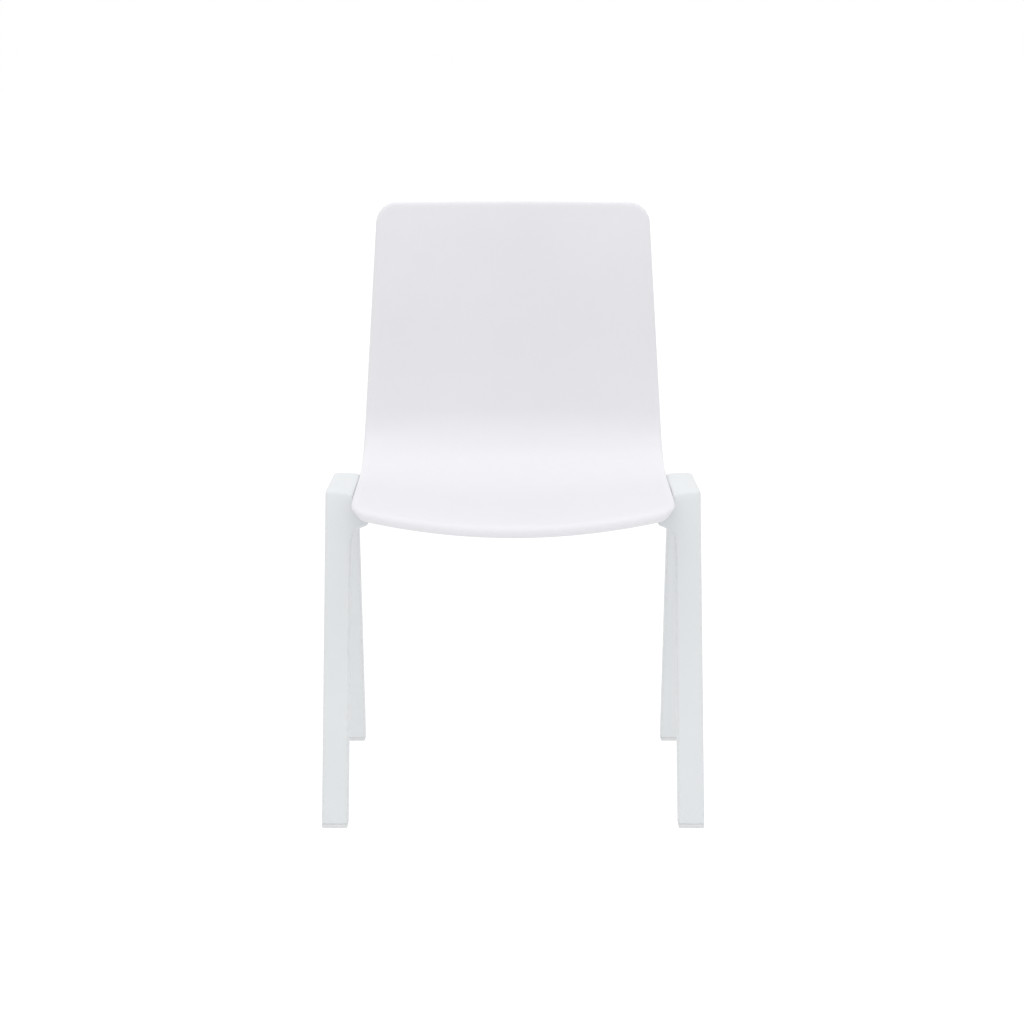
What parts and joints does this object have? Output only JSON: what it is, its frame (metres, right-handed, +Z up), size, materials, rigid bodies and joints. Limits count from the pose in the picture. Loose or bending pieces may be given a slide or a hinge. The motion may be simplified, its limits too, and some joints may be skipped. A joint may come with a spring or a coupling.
{
  "type": "stacking chair",
  "caption": "Armless stacking chair: a one-piece dished shell between two side frames with raked legs, joined by crossbars under the seat.",
  "frame": {"origin": "on the floor, under the middle of the chair's outer box", "axes": "+X across the chair to the right as seen from the front, +Y from the front to the back (the chair faces -Y), +Z up"},
  "size_m": [0.53, 0.5587, 0.8307],
  "materials": {
    "shell": "white polypropylene with a fine moulded grain, satin",
    "frame": "white glass-filled polyamide, fine moulded grain, matt",
    "glide": "white nylon, rubbed smooth at the sole",
    "crossbar": "white powder coat on flat steel bar",
    "screw": "bright zinc plate",
    "insert": "turned brass"
  },
  "bodies": {
    "root": {"seat_shell": "shell", "left_side_frame": "frame", "right_side_frame": "frame", "front_crossbar": "crossbar", "rear_crossbar": "crossbar", "front_left_glide": "glide", "front_left_shell_insert": "insert", "front_left_shell_washer": "screw", "front_left_shell_screw": "screw", "front_left_bar_screw_1": "screw", "front_left_bar_screw_2": "screw", "front_right_glide": "glide", "front_right_shell_insert": "insert", "front_right_shell_washer": "screw", "front_right_shell_screw": "screw", "front_right_bar_screw_1": "screw", "front_right_bar_screw_2": "screw", "rear_left_glide": "glide", "rear_left_shell_insert": "insert", "rear_left_shell_washer": "screw", "rear_left_shell_screw": "screw", "rear_left_bar_screw_1": "screw", "rear_left_bar_screw_2": "screw", "rear_right_glide": "glide", "rear_right_shell_insert": "insert", "rear_right_shell_washer": "screw", "rear_right_shell_screw": "screw", "rear_right_bar_screw_1": "screw", "rear_right_bar_screw_2": "screw"}
  },
  "joints": []
}
